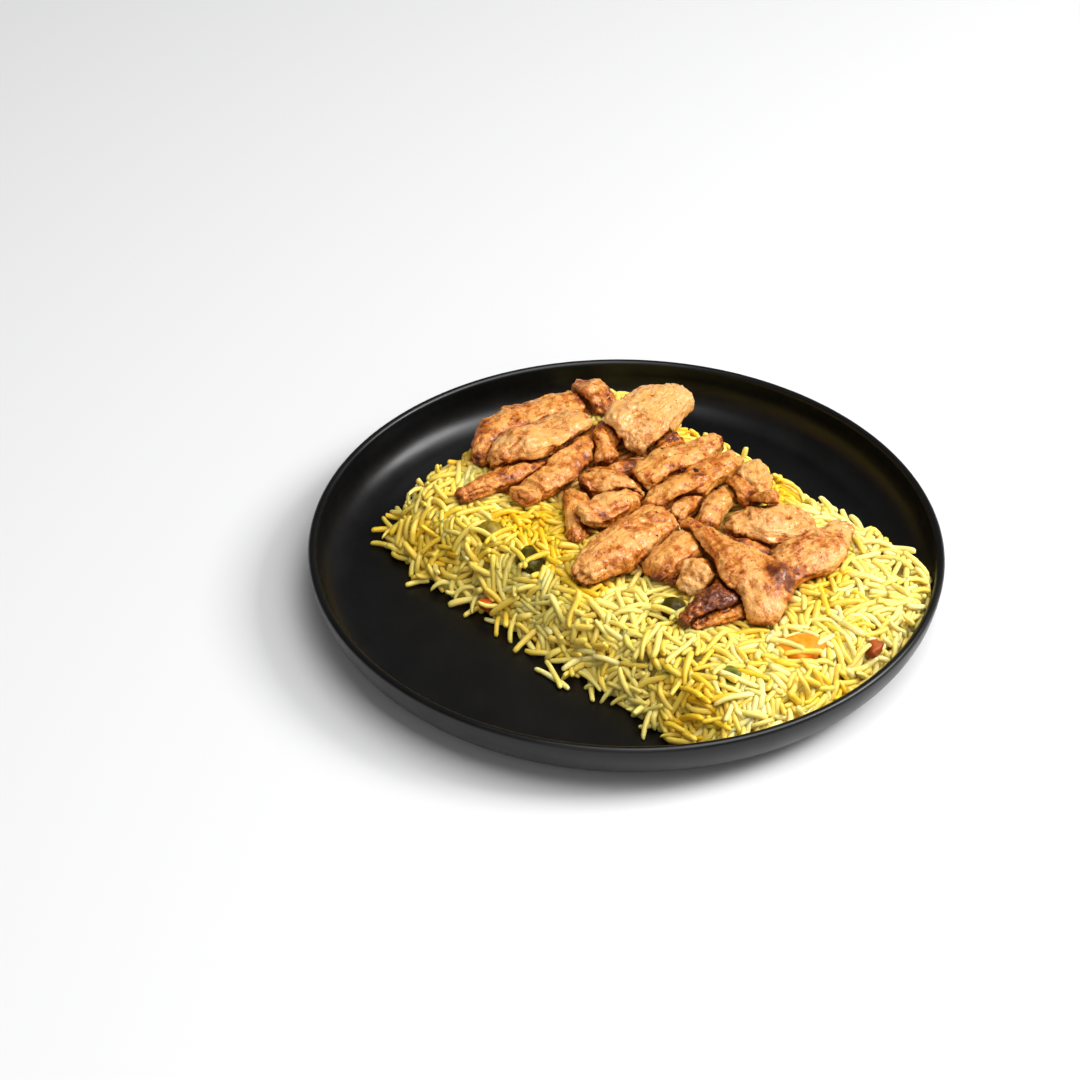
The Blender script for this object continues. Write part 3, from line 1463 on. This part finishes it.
class Roof:
    """The underside of the chicken over the rice, read from a grid of upward rays."""

    STEP = 1.0 * MM
    OPEN = 1.0

    def __init__(self, strips: list[bpy.types.Object]) -> None:
        """Casts the rays.

        Args:
            strips: the chicken strips.
        """
        self.tree = search_tree([strip.data for strip in strips])
        spots = np.vstack([points_of(strip) for strip in strips])
        self.low = spots[:, :2].min(axis=0) - 2 * self.STEP
        self.cells = np.ceil((spots[:, :2].max(axis=0) + 2 * self.STEP - self.low) / self.STEP).astype(int)
        self.under = np.full(tuple(self.cells), self.OPEN)
        up = Vector((0.0, 0.0, 1.0))
        for i in range(self.cells[0]):
            for j in range(self.cells[1]):
                start = Vector((self.low[0] + i * self.STEP, self.low[1] + j * self.STEP, 0.0))
                hit = self.tree.ray_cast(start, up)[0]
                if hit is not None:
                    self.under[i, j] = hit.z

    def height(self, points: np.ndarray) -> np.ndarray:
        """Reads the free height over points.

        Args:
            points: rows of three.

        Returns:
            The height of the chicken's underside over each, or a metre where none is.
        """
        index = np.round((points[:, :2] - self.low) / self.STEP).astype(int)
        inside = ((index >= 0) & (index < self.cells)).all(axis=1)
        index = np.clip(index, 0, self.cells - 1)
        return np.where(inside, self.under[index[:, 0], index[:, 1]], self.OPEN)


@dataclass(frozen=True)
class Fleck:
    """A speck of pepper, herb or burnt spice on the chicken: its place in plan, its sizes and its turn."""

    x: float
    y: float
    length: float
    width: float
    turn: float


@dataclass
class Seasoning:
    """The dark specks on the chicken, each a flattened grain pressed into the surface under it."""

    FLECKS = (
        Fleck(-43.9, 61.1, 2.8, 0.9, 70), Fleck(2.6, 39.0, 3.4, 2.2, 10), Fleck(1.6, -3.6, 1.6, 1.0, 20),
        Fleck(37.1, 11.6, 1.4, 0.7, 0), Fleck(39.7, 11.2, 1.5, 0.8, 60), Fleck(47.6, 11.0, 1.3, 0.9, 30),
        Fleck(31.6, 24.7, 1.3, 0.8, 80), Fleck(20.4, -3.2, 1.2, 0.9, 15), Fleck(10.7, 6.5, 1.5, 1.0, 50),
        Fleck(-10.3, 39.7, 1.2, 0.8, 35), Fleck(-18.8, 40.8, 1.5, 0.8, 75), Fleck(-18.0, 20.7, 2.2, 1.2, 5),
    )
    # The fine specks: how many, and the limits of their places and sizes in millimetres.
    DUST_COUNT = 150
    DUST_PLACES = ((-80, -32), (78, 78))
    DUST_SIZES = ((0.4, 0.35), (0.95, 0.6))

    def build(self, roof: Roof) -> bpy.types.Object:
        """Makes every speck from one flattened ball, as one piece.

        Args:
            roof: the chicken that they lie on.

        Returns:
            The piece.
        """
        down = Vector((0.0, 0.0, -1.0))
        specks = []
        for fleck in self.FLECKS + self.dust():
            start = Vector((fleck.x * MM, fleck.y * MM, 0.1))
            place, normal, _, _ = roof.tree.ray_cast(start, down)
            if place is None:
                continue
            deselect()
            bpy.ops.mesh.primitive_ico_sphere_add(subdivisions=2, radius=0.5 * MM, location=place)
            speck = bpy.context.active_object
            speck.scale = (fleck.length, fleck.width, 0.4)
            lie = normal.to_track_quat("Z", "X") @ Euler((0.0, 0.0, math.radians(fleck.turn))).to_quaternion()
            speck.rotation_euler = lie.to_euler()
            bpy.ops.object.transform_apply(location=True, rotation=True, scale=True)
            specks.append(speck)
        activate(specks[0])
        for speck in specks:
            speck.select_set(True)
        bpy.ops.object.join()
        piece = bpy.context.active_object
        piece.name = "seasoning_specks"
        finish = VegetableFinish("burnt_spice", (0.030, 0.010, 0.004), (0.012, 0.006, 0.003), 0.45)
        finish_piece(piece, finish.material(), "charred_chicken")
        return piece

    def dust(self) -> tuple[Fleck, ...]:
        """Draws the many small specks that the spice rub leaves.

        Returns:
            The specks, spread over the whole pile.
        """
        draw = np.random.default_rng(Seed.DUST)
        found = []
        for _ in range(self.DUST_COUNT):
            x, y = draw.uniform(*self.DUST_PLACES)
            length, width = draw.uniform(*self.DUST_SIZES)
            found.append(Fleck(float(x), float(y), float(length), float(width), float(draw.uniform(0, 180))))
        return tuple(found)


@dataclass
class RiceHeap:
    """The heap's pieces: its core and the grains of each kind."""

    slab: RiceSlab
    bed: GrainBed
    count: int = 3050
    strays: int = 175
    rounds: int = 70
    core_depth: float = 3.4 * MM
    cream_share: float = 0.10
    cream_right: float = 0.30
    lemon_from: float = 0.34
    golden_from: float = 0.68

    FINISHES = (
        GrainFinish(GrainKind.PALE, (0.90, 0.725, 0.20), (0.87, 0.65, 0.09)),
        GrainFinish(GrainKind.LEMON, (0.87, 0.66, 0.13), (0.84, 0.56, 0.035)),
        GrainFinish(GrainKind.GOLDEN, (0.87, 0.625, 0.045), (0.85, 0.51, 0.012)),
        GrainFinish(GrainKind.CREAM, (0.91, 0.77, 0.30), (0.89, 0.71, 0.18)),
    )
    # Grains laid by hand: their two ends and how far they bow, in millimetres.
    LAID = (
        ((17.6, -69.0, 6.2), (36.0, -68.1, 6.3), 0.8),
        ((18.7, -63.9, 7.6), (33.6, -70.4, 6.6), 0.5),
        ((30.5, -66.4, 8.6), (30.4, -57.0, 7.4), 0.3),
        ((-88.2, -62.0, 6.4), (-78.0, -57.0, 7.4), 0.6),
        ((-57.3, -70.7, 6.3), (-52.0, -62.0, 7.2), 0.7),
        ((-42.5, -46.5, 31.2), (-29.0, -45.0, 31.4), 1.8),
        ((-33.0, -49.0, 30.2), (-30.0, -35.5, 33.0), 1.6),
        ((43.5, -30.0, 31.2), (57.0, -27.0, 31.4), 1.6),
        ((53.0, -31.0, 30.4), (56.5, -18.0, 32.6), 1.4),
        ((-21.0, -44.0, 31.6), (-8.5, -48.0, 30.9), 1.2),
        ((-12.0, -50.0, 30.0), (-8.0, -36.5, 32.8), 1.4),
        ((89.0, -12.0, 30.6), (103.0, -7.5, 31.6), 1.2),
        ((98.0, -14.0, 30.0), (108.0, -3.0, 30.8), 1.0),
        ((84.0, -40.5, 29.6), (96.5, -38.5, 29.8), 1.0),
    )
    # Golden and sauce-stained places of the rice, and their sizes, in millimetres.
    GOLDEN_PATCHES = (
        (-55.0, -57.0, 26.0, 9.0), (-14.0, -32.0, 30.0, 11.0), (-25.0, -17.0, 30.0, 12.0),
        (-74.0, -60.0, 26.0, 8.0), (15.0, -37.0, 30.0, 9.0), (-29.0, 67.0, 30.0, 8.0),
        (-39.0, -34.0, 30.0, 9.0), (-84.0, -8.0, 30.0, 8.0), (95.0, -44.0, 20.0, 6.0),
        (74.0, 35.0, 30.0, 8.0), (26.0, 62.0, 30.0, 10.0), (58.0, 18.0, 30.0, 8.0),
    )
    STAINS = ((-84.0, -14.0, 31.0, 9.0), (-86.0, -40.0, 27.0, 4.0), (88.0, 62.0, 24.0, 5.0))

    def build(self) -> None:
        """Lays the grains and makes every piece of the heap."""
        core = self.slab.build_core(self.core_depth, self.bed.plate)
        finish_piece(core, CoreFinish().material(), slot_of("rice"), "rice")
        self.bed.scatter(self.count, self.strays)
        self.bed.settle(self.rounds)
        self.clear_tops()
        for start, end, bend in self.LAID:
            self.bed.lay(start, end, bend)
        kinds = self.sort()
        template = self.grain()
        for finish in self.FINISHES:
            piece = self.join(template, kinds == finish.kind, finish.kind.value)
            finish_piece(piece, finish.material(), slot_of("rice"))
        bpy.data.objects.remove(template)

    def clear_tops(self) -> None:
        """Takes away the grains that hide a vegetable or lie inside one."""
        gone = np.zeros(len(self.bed.middles), bool)
        for (middle, half), finish in zip(self.bed.buried, Vegetables.FINISHES.values()):
            offset = (self.bed.middles - middle) / (half + 1.0 * MM)
            gone |= (np.hypot(offset[:, 0], offset[:, 1]) < finish.bare) & (offset[:, 2] > 0.0)
        self.bed.drop(gone)

    def gold(self, spots: np.ndarray) -> np.ndarray:
        """Works out how golden the rice is at each point, from 0 to 1."""
        gold = 0.28 + 0.55 * LatticeNoise(Seed.GOLD).layered(spots / (13 * MM), 3)
        for x, y, z, size in self.GOLDEN_PATCHES:
            far = np.linalg.norm(spots - np.array((x, y, z)) * MM, axis=1)
            gold += 0.75 * patch(far, size)
        return np.clip(gold, 0.0, 1.0)

    def stain(self, spots: np.ndarray) -> np.ndarray:
        """Works out how much sauce has stained the rice at each point, from 0 to 1."""
        stain = np.zeros(len(spots))
        for x, y, z, size in self.STAINS:
            far = np.linalg.norm(spots - np.array((x, y, z)) * MM, axis=1)
            stain = np.maximum(stain, 0.45 * patch(far, size))
        near = np.zeros(len(spots))
        for number in range(16):
            turn = math.radians(22.5 * number)
            reach = (3.0 * MM, 6.0 * MM)[number % 2]
            moved = spots + np.array((math.cos(turn), math.sin(turn), 0.0)) * reach
            near += self.bed.roof.height(moved) < Roof.OPEN
        top = smooth_step(spots[:, 2], 26 * MM, 29 * MM)
        patchy = smooth_step(LatticeNoise(Seed.STAIN).layered(spots / (6 * MM), 2), -0.3, 0.5)
        drips = 0.3 * near / 16 * patchy + smooth_step(near / 16, 0.5, 0.85)
        return np.clip(stain + drips * top, 0.0, 1.0)

    def sort(self) -> np.ndarray:
        """Chooses each grain's kind.

        Returns:
            The kind of each grain.
        """
        spots = self.bed.middles
        gold = self.gold(spots)
        chance = np.random.default_rng(Seed.KINDS).random(len(spots))
        cream = smooth_step(spots[:, 0] + spots[:, 1] * 0.3, 20 * MM, 110 * MM)
        kinds = np.full(len(spots), GrainKind.PALE, object)
        kinds[chance < self.cream_share + self.cream_right * cream] = GrainKind.CREAM
        lively = gold + 0.5 * (chance - 0.5)
        kinds[lively > self.lemon_from] = GrainKind.LEMON
        kinds[lively > self.golden_from] = GrainKind.GOLDEN
        return kinds

    @staticmethod
    def grain() -> bpy.types.Object:
        """Models one straight grain of unit half length and unit radius, lying along X.

        Returns:
            The grain, which is removed once it has been copied.
        """
        deselect()
        bpy.ops.mesh.primitive_uv_sphere_add(segments=8, ring_count=9, radius=1.0)
        grain = bpy.context.active_object
        bpy.ops.object.mode_set(mode="EDIT")
        bpy.ops.mesh.select_all(action="SELECT")
        bpy.ops.transform.rotate(value=math.pi / 2, orient_axis="Y", center_override=(0.0, 0.0, 0.0))
        bpy.ops.object.mode_set(mode="OBJECT")
        shape = points_of(grain)
        along = np.clip(shape[:, 0], -1.0, 1.0)
        ring = np.maximum(np.hypot(shape[:, 1], shape[:, 2]), 1e-6)
        rings = (0.0, 0.174, 0.5, 0.766, 0.94, 1.0)
        far = np.interp(np.abs(along), rings, (0.0, 0.20, 0.56, 0.85, 0.97, 1.0))
        full = np.interp(np.abs(along), rings[1:], (1.0, 0.99, 0.92, 0.68, 0.0))
        shape[:, 0] = np.sign(along) * far
        shape[:, 1:] *= (full / ring)[:, None]
        set_points(grain, shape)
        return grain

    def join(self, template: bpy.types.Object, chosen: np.ndarray, name: str) -> bpy.types.Object:
        """Copies the one grain to every chosen place, bent and thickened as that grain is, as one mesh.

        Args:
            template: the straight grain.
            chosen: True for each grain of this piece.
            name: the piece's name.

        Returns:
            The piece.
        """
        shape = points_of(template)
        order = [list(face.vertices) for face in template.data.polygons]
        along = shape[:, 0]
        bed = self.bed
        girth = bed.thick[chosen][:, None] * (1.0 + np.multiply.outer(bed.taper[chosen], along))
        number = np.repeat(np.flatnonzero(chosen), len(along))
        lumpy = np.column_stack([number * 3.37, np.tile(along * 2.1, len(girth)), number * 1.13])
        girth *= 1.0 + 0.16 * LatticeNoise(Seed.GIRTH).at(lumpy).reshape(girth.shape)
        reach = np.multiply.outer(bed.length[chosen] / 2, along)
        lift = np.multiply.outer(bed.bend[chosen], 1 / 3 - along * along)
        sway = np.multiply.outer(bed.twist[chosen], along**3 - along)
        kinks = 0.35 * MM * (1.0 - along * along)
        sway += kinks * LatticeNoise(Seed.SWAY).at(lumpy).reshape(girth.shape)
        lift += kinks * LatticeNoise(Seed.LIFT).at(lumpy).reshape(girth.shape)
        local = np.stack([reach, girth * shape[:, 1] + sway, girth * shape[:, 2] + lift], axis=2)
        world = bed.middles[chosen][:, None] + np.einsum("nki,nij->nkj", local, bed.axes[chosen])
        spots = world.reshape(-1, 3)
        count = int(chosen.sum())
        size = len(shape)
        mesh = bpy.data.meshes.new(name)
        loops = np.concatenate([np.array(face) for face in order])
        lengths = np.array([len(face) for face in order])
        mesh.vertices.add(count * size)
        mesh.vertices.foreach_set("co", world.astype(np.float32).ravel())
        every = (np.arange(count)[:, None] * size + loops[None]).ravel()
        mesh.loops.add(len(every))
        mesh.loops.foreach_set("vertex_index", every.astype(np.int32))
        starts = (np.arange(count)[:, None] * len(loops) + (np.cumsum(lengths) - lengths)[None]).ravel()
        mesh.polygons.add(len(starts))
        mesh.polygons.foreach_set("loop_start", starts.astype(np.int32))
        mesh.update(calc_edges=True)
        mesh.validate()
        piece = bpy.data.objects.new(name, mesh)
        bpy.context.scene.collection.objects.link(piece)
        chance = np.random.default_rng(Seed.TINT).uniform(-0.3, 0.3, count)
        set_values(piece, "tint", np.clip(self.gold(spots) + np.repeat(chance, size), 0.0, 1.0))
        set_values(piece, "stain", self.stain(spots))
        return piece


@dataclass
class Studio:
    """The photograph's camera, a white floor and soft lights."""

    camera_place: Place = (0.5981, -0.6370, 0.7038)
    camera_turn: Angles = (52.051, 0.0, 45.5)
    lens: float = 90.0
    sensor: float = 36.0
    near: float = 0.01
    floor_size: float = 12.0
    floor_drop: float = 0.2 * MM
    room_light: float = 0.11

    LIGHTS = (
        ("key", (1.05, 1.15, 1.35), 0.8, 39.0),
        ("top", (0.6, 0.1, 1.75), 1.4, 33.0),
        ("front", (1.2, -1.4, 1.1), 1.6, 8.5),
    )

    def build(self) -> None:
        """Makes the camera, the floor, the lights and the room's even light."""
        camera = bpy.data.objects.new("camera", bpy.data.cameras.new("camera"))
        camera.data.lens = self.lens
        camera.data.sensor_width = self.sensor
        camera.data.clip_start = self.near
        camera.location = self.camera_place
        camera.rotation_euler = Euler([math.radians(angle) for angle in self.camera_turn])
        bpy.context.scene.collection.objects.link(camera)
        bpy.context.scene.camera = camera
        deselect()
        bpy.ops.mesh.primitive_plane_add(size=self.floor_size, location=(0.0, 0.0, -self.floor_drop))
        floor = bpy.context.active_object
        floor.name = "studio_floor"
        floor.data.materials.append(SweepFinish().material())
        for name, place, size, power in self.LIGHTS:
            self.light(name, place, size, power)
        world = bpy.data.worlds.new("room")
        world.use_nodes = True
        background = world.node_tree.nodes["Background"]
        background.inputs["Color"].default_value = (1.0, 1.0, 1.0, 1.0)
        background.inputs["Strength"].default_value = self.room_light
        bpy.context.scene.world = world
        bpy.context.scene.view_settings.view_transform = "Standard"

    @staticmethod
    def light(name: str, place: Place, size: float, power: float) -> None:
        """Adds a square soft light that looks at the plate.

        Args:
            name: its name.
            place: where it hangs.
            size: its side.
            power: its power in watts.
        """
        lamp = bpy.data.lights.new(name, "AREA")
        lamp.shape = "SQUARE"
        lamp.size = size
        lamp.energy = power
        item = bpy.data.objects.new(name, lamp)
        item.location = place
        item.rotation_euler = (-Vector(place)).to_track_quat("-Z", "Y").to_euler()
        bpy.context.scene.collection.objects.link(item)


def main() -> None:
    """Builds every piece in order."""
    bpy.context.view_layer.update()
    Studio().build()
    plate = Plate()
    plate.build()
    strips = ChickenPile().build()
    vegetables = Vegetables()
    vegetables.build()
    slab = RiceSlab()
    roof = Roof(strips)
    Seasoning().build(roof)
    bed = GrainBed(slab, plate, vegetables.extents(), roof, Seed.GRAINS)
    RiceHeap(slab, bed).build()


if __name__ == "__main__":
    logging.basicConfig(level=logging.INFO, format="%(name)s: %(message)s")
    main()
